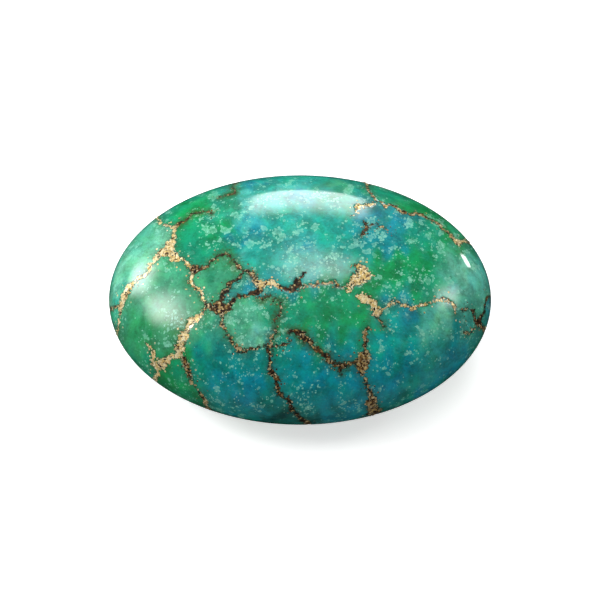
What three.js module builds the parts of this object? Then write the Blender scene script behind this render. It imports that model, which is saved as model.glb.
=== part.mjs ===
// A polished oval cabochon of webbed turquoise: one solid stone with a full, flat-crowned dome, a
// rounded underside and a small flat base to rest on. Millimetres, +Z up, the long axis along X,
// and the origin at the centre of the flat base.
import * as THREE from "three";
import { mergeVertices } from "three/addons/utils/BufferGeometryUtils.js";

// Driving dimensions.
const LENGTH = 38.2; // along X, across the widest ring of the stone
const WIDTH = 27.1; // along Y, across the same ring
const DOME_HEIGHT = 7.5; // from the widest ring up to the crown
const BELLY_DEPTH = 6.0; // from the widest ring down to the flat base
const FULLNESS = 2.6; // 2 gives a plain ellipse; more gives a flatter crown over a rounder shoulder
const EDGE_SOFTENING = 0.35; // how far the rim of the base is ground away, up and in

// How finely the curved skin is divided.
const STEPS_AROUND = 88;
const STEPS_DOME = 18;
const STEPS_BELLY = 12;

const TURQUOISE = 0x12977f;

// The stone is a solid of revolution with a unit radius, stretched afterwards to its oval. Each
// point of its half-profile is (radius as a share of the half width, height in millimetres).
const HALF_TURN = Math.PI / 2;
const baseAngle = -Math.asin(BELLY_DEPTH / DOME_HEIGHT); // where the flat base cuts the belly
const meanRadius = (LENGTH + WIDTH) / 4;

function skinPoint(angle) {
  const radius = Math.pow(Math.cos(angle), 2 / FULLNESS);
  return new THREE.Vector2(radius, BELLY_DEPTH + DOME_HEIGHT * Math.sin(angle));
}

// The flat base, its softened rim, the belly and the dome, from the base centre to the crown.
function halfProfile() {
  const points = [new THREE.Vector2(0, 0)];
  const rim = skinPoint(baseAngle);
  points.push(new THREE.Vector2(rim.x - EDGE_SOFTENING / meanRadius, 0));
  const softened = Math.asin((EDGE_SOFTENING - BELLY_DEPTH) / DOME_HEIGHT);
  for (let i = 0; i <= STEPS_BELLY; i++)
    points.push(skinPoint(softened * (1 - i / STEPS_BELLY)));
  for (let i = 1; i < STEPS_DOME; i++) points.push(skinPoint((HALF_TURN * i) / STEPS_DOME));
  points.push(new THREE.Vector2(0, BELLY_DEPTH + DOME_HEIGHT));
  return points;
}

// Revolves the half-profile, stands it upright and stretches it to the oval of the stone.
function stoneGeometry() {
  const revolved = new THREE.LatheGeometry(halfProfile(), STEPS_AROUND);
  revolved.rotateX(HALF_TURN);
  revolved.scale(LENGTH / 2, WIDTH / 2, 1);
  revolved.deleteAttribute("normal");
  revolved.deleteAttribute("uv");
  const closed = mergeVertices(revolved, 1e-4);
  closed.computeVertexNormals();
  return closed;
}

const polishedTurquoise = new THREE.MeshStandardMaterial({
  color: TURQUOISE,
  roughness: 0.18,
  metalness: 0,
});

const stone = new THREE.Mesh(stoneGeometry(), polishedTurquoise);
stone.name = "turquoise_stone";

const cabochon = new THREE.Group();
cabochon.add(stone);

export default cabochon;
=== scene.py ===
"""A polished oval cabochon of webbed turquoise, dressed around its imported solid.

The stone is one piece: a full dome over a rounded underside, with a small flat base. Its skin is
made here as a fine mesh that carries the green and blue cells, the pale bloom, the web of metallic
matrix and the small grains of metal that stand in the web. Lengths are millimetres unless a name
says metres; the frame and the finished meshes are in metres.
"""

import logging
import math
from dataclasses import dataclass
from enum import Enum

import bpy
import numpy as np
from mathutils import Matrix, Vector


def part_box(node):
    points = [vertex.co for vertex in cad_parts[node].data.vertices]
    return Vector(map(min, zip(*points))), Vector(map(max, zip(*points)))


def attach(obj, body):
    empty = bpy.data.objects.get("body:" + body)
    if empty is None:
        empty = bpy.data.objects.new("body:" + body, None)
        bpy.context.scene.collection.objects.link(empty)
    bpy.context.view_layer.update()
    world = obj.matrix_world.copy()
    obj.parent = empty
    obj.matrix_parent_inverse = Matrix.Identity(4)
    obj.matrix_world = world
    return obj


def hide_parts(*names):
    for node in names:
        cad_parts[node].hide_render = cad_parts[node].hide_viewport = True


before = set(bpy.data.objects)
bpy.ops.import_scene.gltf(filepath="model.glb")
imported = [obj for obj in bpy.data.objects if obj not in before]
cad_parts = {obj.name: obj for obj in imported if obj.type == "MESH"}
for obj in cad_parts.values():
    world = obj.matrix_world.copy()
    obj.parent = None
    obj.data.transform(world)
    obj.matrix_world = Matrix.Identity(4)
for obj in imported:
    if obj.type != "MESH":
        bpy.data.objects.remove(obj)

LOG = logging.getLogger("cabochon")
METRES = 0.001  # one millimetre
BODY = "root"
STONE_NODE = "turquoise_stone"

# The stone's shape, as its solid has it. The half length, half width and dome come from the frame.
GIRDLE_HEIGHT = 6.0  # the widest ring of the stone, above the flat base
FULLNESS = 2.6  # 2 is a plain ellipse; more is a flatter crown over a rounder shoulder
EDGE_SOFTENING = 0.35  # how far up the rim of the base is ground away

# The web and the colours of the face are drawn on the stone as it lies, seen from the front
# at this height above level. "Across" runs along X as a share of the half length, and "up" is
# square to the line of sight as a share of the half height seen, both from the stone's middle.
SIGHT_ELEVATION = math.radians(60.0)

Spot = tuple[float, float, float]
Spots = tuple[Spot, ...]


def linear(code: str) -> tuple[float, float, float]:
    """Turns a colour chip's hexadecimal code into linear light.

    Args:
        code: Six hexadecimal digits, red first.

    Returns:
        Red, green and blue in linear light.
    """
    shares = [int(code[i:i + 2], 16) / 255.0 for i in (0, 2, 4)]
    red, green, blue = [s / 12.92 if s <= 0.04045 else ((s + 0.055) / 1.055) ** 2.4 for s in shares]
    return red, green, blue


class Side(Enum):
    """The half of the stone that a mark lies on."""

    FACE = "seen from the front"
    BACK = "turned away and underneath"


class Tint(Enum):
    """The colours of the turquoise itself, from leaf green through blue to mint, and one dark teal
    that is painted shade.
    """

    LEAF_GREEN = "009A54"
    EMERALD = "009670"
    SEA_GREEN = "04A896"
    JADE = "3FA87E"
    MOSS = "4E8E58"
    TEAL = "028A86"
    # painted shade: a dark teal laid only along the bottom rim, where the stone turns away from the
    # lamps
    PAINTED_SHADE_TEAL = "0A5A56"
    LAKE_BLUE = "0090A8"
    AQUA = "4CBAAE"
    MINT = "72C8A6"

    @property
    def light(self) -> tuple[float, float, float]:
        """The tint in linear light."""
        return linear(self.value)


class Look(Enum):
    """How a vein of matrix looks: its share of bright metal, its brownness and its rust halo."""

    GOLD = (0.76, 0.12, 0.35)
    BRONZE = (0.55, 0.70, 0.40)
    DARK = (0.30, 0.75, 0.30)
    RUST = (0.35, 0.85, 0.90)
    LINE = (0.40, 1.00, 1.00)


# The main courses of the web on the face, as (across, up, half the width in millimetres).
FACE_COURSES: dict[Look, tuple[Spots, ...]] = {
    Look.GOLD: (
        ((-0.77, 0.71, 0.10), (-0.72, 0.60, 0.10), (-0.65, 0.57, 0.18), (-0.66, 0.47, 0.18),
         (-0.68, 0.39, 0.45)),
        ((-0.68, 0.39, 0.45), (-0.74, 0.35, 0.20), (-0.85, 0.14, 0.20), (-0.90, 0.03, 0.28),
         (-0.93, -0.07, 0.22), (-0.94, -0.20, 0.12), (-0.97, -0.34, 0.12)),
        ((-0.68, 0.39, 0.40), (-0.60, 0.31, 0.15), (-0.56, 0.24, 0.15)),
        ((-0.55, 0.21, 0.15), (-0.55, 0.11, 0.12), (-0.49, -0.02, 0.13), (-0.45, -0.07, 0.15)),
        ((-0.24, 0.14, 0.12), (-0.20, 0.11, 0.28), (-0.15, 0.13, 0.25), (-0.11, 0.09, 0.12)),
        ((-0.49, -0.09, 0.15), (-0.56, -0.17, 0.20), (-0.59, -0.28, 0.28), (-0.61, -0.42, 0.40),
         (-0.67, -0.47, 0.18), (-0.73, -0.54, 0.38)),
        ((-0.79, -0.36, 0.08), (-0.76, -0.50, 0.20), (-0.73, -0.60, 0.25), (-0.77, -0.71, 0.14)),
        ((0.27, 0.26, 0.10), (0.32, 0.25, 0.22), (0.33, 0.18, 0.40), (0.27, 0.13, 0.45),
         (0.25, 0.07, 0.15)),
        ((0.31, 0.01, 0.20), (0.35, 0.00, 0.38), (0.39, -0.11, 0.30)),
        ((0.40, -0.08, 0.12), (0.49, -0.02, 0.11), (0.58, -0.09, 0.11), (0.68, -0.03, 0.11),
         (0.74, 0.01, 0.13), (0.80, -0.12, 0.08)),
        ((0.39, 0.76, 0.08), (0.31, 0.75, 0.20), (0.29, 0.70, 0.16)),
        ((0.79, 0.50, 0.12), (0.82, 0.45, 0.20), (0.92, 0.46, 0.12)),
    ),
    Look.BRONZE: (
        ((-0.60, -0.44, 0.18), (-0.58, -0.57, 0.25), (-0.53, -0.71, 0.20), (-0.46, -0.94, 0.18)),
        ((-0.40, -0.12, 0.12), (-0.38, -0.26, 0.12), (-0.33, -0.38, 0.15), (-0.28, -0.43, 0.20)),
        ((0.00, 0.06, 0.06), (0.06, 0.11, 0.10), (0.13, 0.12, 0.07), (0.22, 0.09, 0.10)),
        ((0.35, -0.23, 0.20), (0.33, -0.40, 0.25), (0.32, -0.50, 0.42), (0.31, -0.58, 0.18)),
        ((0.31, -0.58, 0.12), (0.34, -0.68, 0.15), (0.37, -0.80, 0.40), (0.38, -0.90, 0.50),
         (0.41, -0.98, 0.20)),
        ((0.36, 0.99, 0.12), (0.36, 0.88, 0.08), (0.40, 0.79, 0.14), (0.50, 0.74, 0.14),
         (0.58, 0.67, 0.18), (0.64, 0.68, 0.18), (0.74, 0.56, 0.10), (0.79, 0.50, 0.14)),
        ((0.84, -0.27, 0.10), (0.87, -0.29, 0.12), (0.91, -0.24, 0.08)),
        ((-0.93, -0.06, 0.12), (-1.04, -0.08, 0.12)),
    ),
    Look.DARK: (
        ((-0.56, 0.24, 0.20), (-0.53, 0.23, 0.30), (-0.47, 0.26, 0.12)),
        ((-0.48, -0.06, 0.22), (-0.42, -0.08, 0.45), (-0.36, -0.06, 0.22), (-0.28, 0.02, 0.12),
         (-0.21, 0.06, 0.25)),
        ((-0.29, 0.23, 0.12), (-0.32, 0.14, 0.12), (-0.39, 0.04, 0.18), (-0.41, -0.03, 0.15)),
        ((-0.11, 0.09, 0.12), (-0.05, 0.07, 0.15), (-0.02, 0.10, 0.25), (0.02, 0.20, 0.10)),
        ((-0.28, -0.43, 0.10), (-0.20, -0.38, 0.07), (-0.15, -0.38, 0.15), (-0.05, -0.34, 0.06)),
        ((-0.16, -0.40, 0.12), (-0.14, -0.60, 0.20), (-0.09, -0.77, 0.22), (-0.02, -0.92, 0.22),
         (0.06, -1.06, 0.18)),
        ((0.33, 0.62, 0.06), (0.34, 0.55, 0.12), (0.31, 0.50, 0.15)),
        ((0.83, -0.09, 0.08), (0.90, -0.09, 0.10), (0.93, -0.21, 0.28), (0.98, -0.35, 0.15)),
        ((1.03, 0.19, 0.12), (0.97, 0.00, 0.10), (0.96, -0.11, 0.14), (0.94, -0.21, 0.22)),
        ((0.34, 0.58, 0.07), (0.40, 0.60, 0.06), (0.46, 0.55, 0.05)),
    ),
    Look.RUST: (
        ((-0.06, -0.27, 0.10), (0.01, -0.28, 0.25), (0.06, -0.37, 0.15), (0.11, -0.44, 0.18),
         (0.21, -0.53, 0.22), (0.30, -0.51, 0.08)),
        ((0.22, -0.52, 0.20), (0.21, -0.59, 0.12)),
        ((-0.38, 0.36, 0.10), (-0.33, 0.28, 0.12), (-0.27, 0.22, 0.14), (-0.22, 0.14, 0.10)),
    ),
    Look.LINE: (
        ((-0.65, 0.57, 0.14), (-0.60, 0.62, 0.10), (-0.51, 0.70, 0.07), (-0.46, 0.69, 0.10)),
        ((-0.42, 0.82, 0.07), (-0.34, 0.85, 0.06), (-0.27, 1.02, 0.10)),
        ((-0.47, 0.27, 0.06), (-0.43, 0.33, 0.07), (-0.38, 0.36, 0.06)),
        ((-0.21, 0.00, 0.05), (-0.10, -0.03, 0.06), (-0.13, -0.18, 0.05), (-0.15, -0.36, 0.05)),
        ((0.37, -0.13, 0.06), (0.43, -0.22, 0.04)),
    ),
}

# The courses that the web takes over the back and the underside, as (across, up) in millimetres.
# Where a vein of the face runs over the rim, a course starts just past the outline to meet it. They
# are roughened when they are laid.
BACK_COURSES: tuple[tuple[tuple[float, float], ...], ...] = (
    ((-14.8, 8.8), (-13.0, 8.0), (-12.0, 6.9), (-11.4, 5.5), (-10.6, 4.2)),
    ((-5.2, 12.7), (-4.6, 10.9), (-5.2, 9.6), (-4.4, 8.2), (-3.2, 6.9), (-2.8, 5.4), (-1.6, 4.2)),
    ((6.9, 12.3), (6.0, 10.4), (7.0, 9.2), (7.6, 7.8), (6.8, 6.4), (7.4, 5.0), (6.6, 3.6)),
    ((-4.4, 8.2), (-2.4, 8.8), (-0.4, 8.3), (1.6, 8.9), (3.6, 8.0), (5.4, 8.4), (7.0, 9.2)),
    ((17.6, 5.7), (15.6, 5.4), (14.4, 4.3), (12.9, 4.4), (11.2, 5.6), (9.2, 6.0), (7.6, 7.8)),
    ((19.7, 2.4), (17.4, 1.6), (16.2, 0.4), (14.7, 0.2), (13.2, -0.9)),
    ((14.4, 4.3), (14.7, 2.2), (14.7, 0.2)),
    ((18.7, -4.3), (16.8, -4.4), (15.3, -3.6), (13.2, -0.9)),
    ((-18.5, -4.2), (-17.0, -3.6), (-15.6, -3.9), (-13.9, -2.6)),
    ((-19.9, -1.0), (-17.8, 0.2), (-16.4, 1.2), (-15.2, 2.9), (-13.4, 3.9), (-11.4, 5.5)),
    ((-15.2, 2.9), (-14.6, 1.0), (-13.9, -0.8), (-13.9, -2.6)),
    ((-12.0, 6.9), (-9.8, 7.8), (-7.6, 7.4), (-5.9, 8.6), (-5.2, 9.6)),
    ((-13.9, -2.6), (-11.2, -3.8), (-8.6, -2.9), (-6.2, -4.4), (-3.4, -3.6), (-0.8, -5.2),
     (2.4, -4.4), (5.2, -5.6), (8.0, -4.4), (10.8, -4.0), (13.2, -0.9)),
    ((-14.7, -8.8), (-12.6, -7.2), (-11.2, -3.8)),
    ((-8.8, -11.7), (-7.4, -9.6), (-6.8, -7.0), (-6.2, -4.4)),
    ((1.1, -13.1), (0.6, -10.6), (-0.6, -8.2), (-0.8, -5.2)),
    ((7.8, -12.2), (7.8, -9.4), (8.6, -7.0), (8.0, -4.4)),
    ((-1.6, 4.2), (-2.4, 1.6), (-3.6, -0.8), (-3.4, -3.6)),
    ((6.6, 3.6), (5.4, 1.2), (6.0, -1.6), (5.2, -5.6)),
    ((-10.6, 4.2), (-9.2, 1.2), (-8.6, -2.9)),
)


@dataclass(frozen=True)
class Field:
    """A broad part of the face where a few tints keep together.

    Attributes:
        across: Where its middle is, as a share of the half length.
        up: Where its middle is, as a share of the half height seen.
        reach: How far it spreads, as a share of the half length.
        tints: The tints that mix in it.
    """

    across: float
    up: float
    reach: float
    tints: tuple[Tint, ...]


FACE_FIELDS: tuple[Field, ...] = (
    Field(-0.55, 0.65, 0.25, (Tint.LEAF_GREEN, Tint.EMERALD, Tint.LEAF_GREEN)),
    Field(-0.90, 0.30, 0.15, (Tint.SEA_GREEN, Tint.MINT)),
    Field(-0.60, 0.05, 0.25, (Tint.JADE, Tint.MOSS, Tint.JADE)),
    Field(-0.75, -0.50, 0.20, (Tint.LEAF_GREEN, Tint.EMERALD)),
    Field(-0.40, -0.45, 0.20, (Tint.LAKE_BLUE, Tint.TEAL)),
    Field(-0.25, -0.20, 0.10, (Tint.MINT, Tint.JADE)),
    Field(-0.05, 0.50, 0.30, (Tint.SEA_GREEN, Tint.LAKE_BLUE, Tint.AQUA)),
    Field(0.45, 0.60, 0.15, (Tint.LAKE_BLUE, Tint.TEAL)),
    Field(0.30, 0.95, 0.20, (Tint.JADE, Tint.EMERALD)),
    Field(0.60, 0.35, 0.25, (Tint.LEAF_GREEN, Tint.EMERALD, Tint.LEAF_GREEN)),
    Field(0.10, -0.18, 0.25, (Tint.LEAF_GREEN, Tint.EMERALD)),
    # partly the stone's own pale mint and partly a painted highlight: the glow of the lamps on the
    # right is laid into these tints
    Field(0.85, 0.10, 0.15, (Tint.AQUA, Tint.MINT)),
    Field(0.70, -0.15, 0.10, (Tint.MINT, Tint.AQUA)),
    Field(0.55, -0.40, 0.25, (Tint.LAKE_BLUE, Tint.TEAL, Tint.SEA_GREEN)),
    Field(0.00, -0.75, 0.35, (Tint.TEAL, Tint.LAKE_BLUE, Tint.TEAL)),
    # painted shade: this field darkens the bottom rim, as if the stone were lit from above and
    # behind
    Field(0.00, -1.05, 0.30, (Tint.PAINTED_SHADE_TEAL, Tint.TEAL)),
)

# Where the pale bloom gathers on the face, as (across, up, reach) in the same shares.
FACE_DRIFTS: Spots = (
    (-0.40, 0.65, 0.15), (-0.40, 0.38, 0.12), (-0.10, 0.45, 0.15), (0.10, 0.55, 0.20),
    (0.35, 0.50, 0.15), (0.65, 0.40, 0.20), (-0.25, -0.20, 0.12), (0.70, -0.25, 0.10),
)

Values = np.ndarray  # an array of numbers, one row for each point


def toward_eye() -> Values:
    """The direction from the stone to the front viewpoint."""
    return np.array([0.0, -math.cos(SIGHT_ELEVATION), math.sin(SIGHT_ELEVATION)])


def sight_up() -> Values:
    """The direction on the stone that reads as up from the front viewpoint."""
    return np.array([0.0, math.sin(SIGHT_ELEVATION), math.cos(SIGHT_ELEVATION)])


def smooth_top(first: Values, second: float, spread: float) -> Values:
    """The larger of two values, with the corner between them rounded.

    Args:
        first: The values to raise.
        second: The floor that they are raised to.
        spread: How far either side of the corner the rounding reaches.

    Returns:
        The raised values.
    """
    overlap = np.maximum(spread - np.abs(first - second), 0.0) / spread
    return np.maximum(first, second) + overlap ** 3 * spread / 6.0


@dataclass(frozen=True)
class StoneForm:
    """The outer shape of the stone, in millimetres.

    Attributes:
        half_length: Half the girdle along X.
        half_width: Half the girdle along Y.
        dome: The height of the crown above the girdle.
    """

    half_length: float
    half_width: float
    dome: float

    @classmethod
    def around(cls, node: str) -> "StoneForm":
        """Reads the shape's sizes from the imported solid.

        Args:
            node: The name of the solid.

        Returns:
            The form that fills the solid's box.
        """
        low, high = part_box(node)
        size = (high - low) / METRES
        return cls(size.x / 2.0, size.y / 2.0, size.z - GIRDLE_HEIGHT)

    @property
    def middle(self) -> Values:
        """The middle of the girdle."""
        return np.array([0.0, 0.0, GIRDLE_HEIGHT])

    @property
    def seen_height(self) -> float:
        """Half the height of the outline, as seen from the front viewpoint."""
        return math.hypot(self.half_width * sight_up()[1], self.dome * sight_up()[2])

    def beyond(self, points: Values) -> Values:
        """How far points are outside the uncut skin, as a number that is nought on it.

        Args:
            points: Places, with X, Y and Z in the last axis.

        Returns:
            Negative numbers inside the skin and positive ones outside it.
        """
        out = (points[..., 0] / self.half_length) ** 2 + (points[..., 1] / self.half_width) ** 2
        rise = (points[..., 2] - GIRDLE_HEIGHT) / self.dome
        return out ** (FULLNESS / 2.0) + rise ** 2 - 1.0

    def land(self, across: Values, up: Values, side: Side) -> Values:
        """Carries marks along the line of sight onto the skin.

        Args:
            across: Each mark's place along X.
            up: Each mark's place square to the line of sight.
            side: The half of the stone to stop at.

        Returns:
            The places on the skin. A mark past the edge stops at the edge.
        """
        reach, steps = 18.0, 721
        sign = 1.0 if side is Side.FACE else -1.0
        along = np.linspace(sign * reach, -sign * reach, steps)
        starts = self.middle + np.outer(across, (1.0, 0.0, 0.0)) + np.outer(up, sight_up())
        lines = starts[:, None, :] + along[None, :, None] * toward_eye()
        outside = self.beyond(lines)
        met = (outside < 0.0).any(axis=1)
        first = np.where(met, (outside < 0.0).argmax(axis=1), outside.argmin(axis=1))
        rows = np.arange(len(first))
        before = np.maximum(first - 1, 0)
        gap = np.where(met, outside[rows, before] - outside[rows, first], 1.0)
        share = np.where(met, outside[rows, before] / gap, 1.0)
        stop = along[before] + share * (along[first] - along[before])
        landed = starts + stop[:, None] * toward_eye()
        landed[:, 2] = smooth_top(landed[:, 2], 0.0, EDGE_SOFTENING)
        return landed

    def seen(self, points: Values) -> tuple[Values, Values, Values]:
        """Reads points of the skin from the front viewpoint.

        Args:
            points: Places on the skin.

        Returns:
            Each point's across and up, and whether it is on the face.
        """
        out = (points[:, 0] / self.half_length) ** 2 + (points[:, 1] / self.half_width) ** 2
        swell = FULLNESS * np.maximum(out, 1e-9) ** (FULLNESS / 2.0 - 1.0)
        lean_y = swell * points[:, 1] / self.half_width ** 2
        lean_z = 2.0 * (points[:, 2] - GIRDLE_HEIGHT) / self.dome ** 2
        faces = lean_y * toward_eye()[1] + lean_z * toward_eye()[2] > 0.0
        return points[:, 0], (points - self.middle) @ sight_up(), faces


class Wander:
    """A smooth, repeatable drift that varies over space, made of a few sine waves."""

    def __init__(self, seed: int, wavelength: float, push: float, waves: int = 7) -> None:
        """Draws the waves.

        Args:
            seed: Fixes the draw.
            wavelength: The middle length of a wave.
            push: The drift's usual size.
            waves: How many waves are added for each direction.
        """
        draw = np.random.default_rng(seed)
        heading = draw.normal(size=(3, waves, 3))
        heading /= np.linalg.norm(heading, axis=2, keepdims=True)
        length = wavelength * draw.uniform(0.6, 1.6, size=(3, waves, 1))
        self.turns = heading * 2.0 * math.pi / length
        self.starts = draw.uniform(0.0, 2.0 * math.pi, size=(3, waves))
        self.push = push * math.sqrt(2.0 / waves)

    def at(self, points: Values) -> Values:
        """The drift at some places.

        Args:
            points: Places, one row each.

        Returns:
            The drift in X, Y and Z, one row each.
        """
        drift = [np.sin(points @ self.turns[i].T + self.starts[i]).sum(axis=1) for i in range(3)]
        return self.push * np.stack(drift, axis=1)


@dataclass(frozen=True)
class Vein:
    """One stretch of matrix laid on the skin.

    Attributes:
        look: How it looks.
        places: Its course, one row for each point.
        widths: Half its width at each point.
    """

    look: Look
    places: Values
    widths: Values


class Markings:
    """The web, the colours and the bloom, worked out at every point of the skin."""

    MARGIN = 3.0  # how far from a vein its distance is worked out
    FAR = 3.0  # the distance that a point with no vein near it is given
    MELT = 0.35  # how softly one vein runs into the next
    CELL_GAP = 0.25  # breaks in the web up to twice this wide still close a cell off
    CELL_GROWTH = 2  # how many rounds a cell then grows back towards its veins
    CELL_EDGE = -0.05  # how far into a vein a cell may grow
    CELL_LEAK = 0.05  # how much of a pool's colour crosses the web
    OUT_OF_VEINS = 100.0  # square millimetres that keep a pool's home out of the veins
    POOL_CORE = 0.10  # more is a flatter middle of each pool
    POOL_FALL = 1.6  # more is a sharper edge between pools
    FACE_WEIGHT = 0.92  # how heavy the web of the face is drawn
    FACE_ROUNDS = 3  # how often a course on the face is halved and roughened
    BACK_ROUNDS = 3
    FACE_POOLS = 190
    BACK_POOLS = 150
    FACE_BLOOMS = 420  # before they are thinned out between the drifts
    BACK_BLOOMS = 150
    STRAY_BLOOM = 0.06  # the share of the face's bloom that is kept away from the drifts
    DRIFT_BLOOM = 0.80  # the further share that is kept in the middle of a drift
    FACE_VEIN_SEED = 29
    BACK_VEIN_SEED = 41
    FACE_POOL_SEED = 11
    BACK_POOL_SEED = 7
    FACE_BLOOM_SEED = 37
    BACK_BLOOM_SEED = 23

    def __init__(self, form: StoneForm, points: Values, edges: Values) -> None:
        """Keeps what the marks are laid on.

        Args:
            form: The shape of the stone.
            points: Places on the skin, one row each.
            edges: The two points at the ends of each edge of the skin, one row each.
        """
        self.form = form
        self.points = points
        self.edges = edges
        self.across, self.up, self.on_face = form.seen(points)

    def face_veins(self) -> list[Vein]:
        """Lays the web of the face.

        Returns:
            The veins, in the order of their lists.
        """
        draw = np.random.default_rng(self.FACE_VEIN_SEED)
        size = np.array([self.form.half_length, self.form.seen_height, 1.0])
        veins = []
        for look, courses in FACE_COURSES.items():
            for course in courses:
                spots = self.roughened(np.array(course) * size, draw, self.FACE_ROUNDS)
                places = self.form.land(spots[:, 0], spots[:, 1], Side.FACE)
                swell = np.clip(draw.normal(0.0, 0.50, len(spots)), -0.8, 1.1)
                widths = np.maximum(spots[:, 2] * self.FACE_WEIGHT * (1.0 + swell) - 0.02, 0.02)
                veins.append(Vein(look, places, widths))
        return veins

    def back_veins(self) -> list[Vein]:
        """Lays and roughens the web of the back and the underside.

        Returns:
            The veins, in stretches of one look each.
        """
        draw = np.random.default_rng(self.BACK_VEIN_SEED)
        looks = (Look.GOLD, Look.BRONZE, Look.DARK, Look.RUST)
        stretch = 9
        veins = []
        for course in BACK_COURSES:
            spots = self.roughened(np.array(course), draw, self.BACK_ROUNDS)
            places = self.form.land(spots[:, 0], spots[:, 1], Side.BACK)
            swell = np.clip(draw.normal(0.0, 0.5, len(spots)), -0.9, 1.6)
            widths = 0.17 * (1.0 + 0.75 * np.convolve(swell, (0.25, 0.5, 0.25), "same"))
            for start in range(0, len(spots) - 1, stretch):
                part = slice(start, start + stretch + 1)
                look = looks[draw.choice(len(looks), p=(0.38, 0.27, 0.25, 0.10))]
                veins.append(Vein(look, places[part], widths[part]))
        return veins

    @staticmethod
    def roughened(spots: Values, draw: np.random.Generator, rounds: int) -> Values:
        """Halves each stretch of a course a few times, and pushes each new point aside.

        Args:
            spots: The course, as across and up, and its half width if it has one.
            draw: The source of chance.
            rounds: How many times each stretch is halved.

        Returns:
            The longer course.
        """
        for _ in range(rounds):
            gaps = spots[1:] - spots[:-1]
            aside = np.zeros_like(gaps)
            aside[:, 0], aside[:, 1] = -gaps[:, 1], gaps[:, 0]
            middles = (spots[1:] + spots[:-1]) / 2.0 + aside * draw.normal(0.0, 0.11, (len(gaps), 1))
            longer = np.empty((len(spots) + len(middles), spots.shape[1]))
            longer[0::2] = spots
            longer[1::2] = middles
            spots = longer
        return spots

    def web(self) -> dict[str, Values]:
        """Measures every point's place against the web.

        Returns:
            web: the distance outside the nearest vein, negative within it; to_vein: the way to
            the vein's middle; vein_width: half its width there; look: its metal, brown and rust.
        """
        count = len(self.points)
        web = np.full(count, self.FAR)
        nearest = np.full(count, self.FAR)
        to_vein = np.zeros((count, 3))
        to_vein[:, 0] = self.FAR
        vein_width = np.zeros(count)
        look = np.zeros((count, 3))
        weight = np.full(count, 1e-12)
        for vein in self.face_veins() + self.back_veins():
            low = vein.places.min(axis=0) - self.MARGIN
            high = vein.places.max(axis=0) + self.MARGIN
            near = np.flatnonzero(((self.points > low) & (self.points < high)).all(axis=1))
            gap, offset, width = self.measured(self.points[near], vein)
            overlap = np.maximum(self.MELT - np.abs(gap - web[near]), 0.0) / self.MELT
            web[near] = np.minimum(gap, web[near]) - overlap ** 3 * self.MELT / 6.0
            closer = gap < nearest[near]
            taken = near[closer]
            nearest[taken] = gap[closer]
            to_vein[taken] = offset[closer]
            vein_width[taken] = width[closer]
            share = np.exp(-np.clip(gap, -1.0, 6.0) / 0.12)
            look[near] += share[:, None] * np.array(vein.look.value)
            weight[near] += share
        return {"web": web, "to_vein": to_vein, "vein_width": vein_width,
                "look": look / weight[:, None]}

    @staticmethod
    def measured(points: Values, vein: Vein) -> tuple[Values, Values, Values]:
        """Measures points against one vein.

        Args:
            points: Places, one row each.
            vein: The vein.

        Returns:
            The distance outside its edge, the way to its middle, and half its width there.
        """
        gap = np.full(len(points), np.inf)
        offset = np.zeros((len(points), 3))
        width = np.zeros(len(points))
        for i in range(len(vein.places) - 1):
            start, run = vein.places[i], vein.places[i + 1] - vein.places[i]
            share = np.clip((points - start) @ run / max(run @ run, 1e-9), 0.0, 1.0)
            way = start + share[:, None] * run - points
            half = vein.widths[i] + share * (vein.widths[i + 1] - vein.widths[i])
            beyond = np.linalg.norm(way, axis=1) - half
            closer = beyond < gap
            gap[closer] = beyond[closer]
            offset[closer] = way[closer]
            width[closer] = half[closer]
        return gap, offset, width

    def pools(self) -> tuple[Values, Values, Values]:
        """Lays the pools of colour of both sides.

        Returns:
            The pools' places, their reaches and their tints.
        """
        draw = np.random.default_rng(self.FACE_POOL_SEED)
        across, up = self.scattered(draw, self.FACE_POOLS)
        shown = self.form.land(across, up, Side.FACE)
        pull = np.stack([self.nearness(across, up, (f.across, f.up, f.reach))
                         for f in FACE_FIELDS], axis=1)
        pull *= draw.uniform(0.8, 1.25, pull.shape)
        mood = Wander(31, 6.0, 0.9).at(shown)[:, 0] + draw.uniform(0.0, 3.0, len(shown))
        chosen = [FACE_FIELDS[i].tints for i in pull.argmax(axis=1)]
        places = [shown]
        reaches = [draw.uniform(0.7, 1.6, len(shown))]
        tints = [np.array([few[int(abs(m)) % len(few)].light for few, m in zip(chosen, mood)])]
        draw = np.random.default_rng(self.BACK_POOL_SEED)
        across, up = self.scattered(draw, self.BACK_POOLS)
        hidden = self.form.land(across, up, Side.BACK)
        family = (Tint.LEAF_GREEN, Tint.EMERALD, Tint.JADE, Tint.SEA_GREEN, Tint.AQUA,
                  Tint.LAKE_BLUE, Tint.TEAL, Tint.EMERALD, Tint.MINT)
        drift = Wander(19, 17.0, 2.6).at(hidden)[:, 0] + draw.normal(0.0, 1.3, len(hidden))
        choice = np.mod(np.floor(drift + 3.0), len(family)).astype(int)
        places.append(hidden)
        reaches.append(draw.uniform(0.8, 1.7, len(hidden)))
        tints.append(np.array([family[i].light for i in choice]))
        return np.concatenate(places), np.concatenate(reaches), np.concatenate(tints)

    def nearness(self, across: Values, up: Values, spot: Spot) -> Values:
        """How near places are to the middle of a field or a drift.

        Args:
            across: The places along X, in millimetres.
            up: The places square to the line of sight.
            spot: The middle and the reach, in shares.

        Returns:
            One at the middle, falling to nought well outside.
        """
        reach = spot[2] * self.form.half_length
        aside = across - spot[0] * self.form.half_length
        rise = up - spot[1] * self.form.seen_height
        return np.exp(-(aside ** 2 + rise ** 2) / reach ** 2)

    def scattered(self, draw: np.random.Generator, count: int) -> tuple[Values, Values]:
        """Scatters marks evenly over the stone's outline.

        Args:
            draw: The source of chance.
            count: How many marks.

        Returns:
            Their places, as across and up.
        """
        turn = draw.uniform(0.0, 2.0 * math.pi, count)
        out = np.sqrt(draw.uniform(0.0, 1.0, count))
        height = self.form.seen_height
        return out * self.form.half_length * np.cos(turn), out * height * np.sin(turn)

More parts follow.
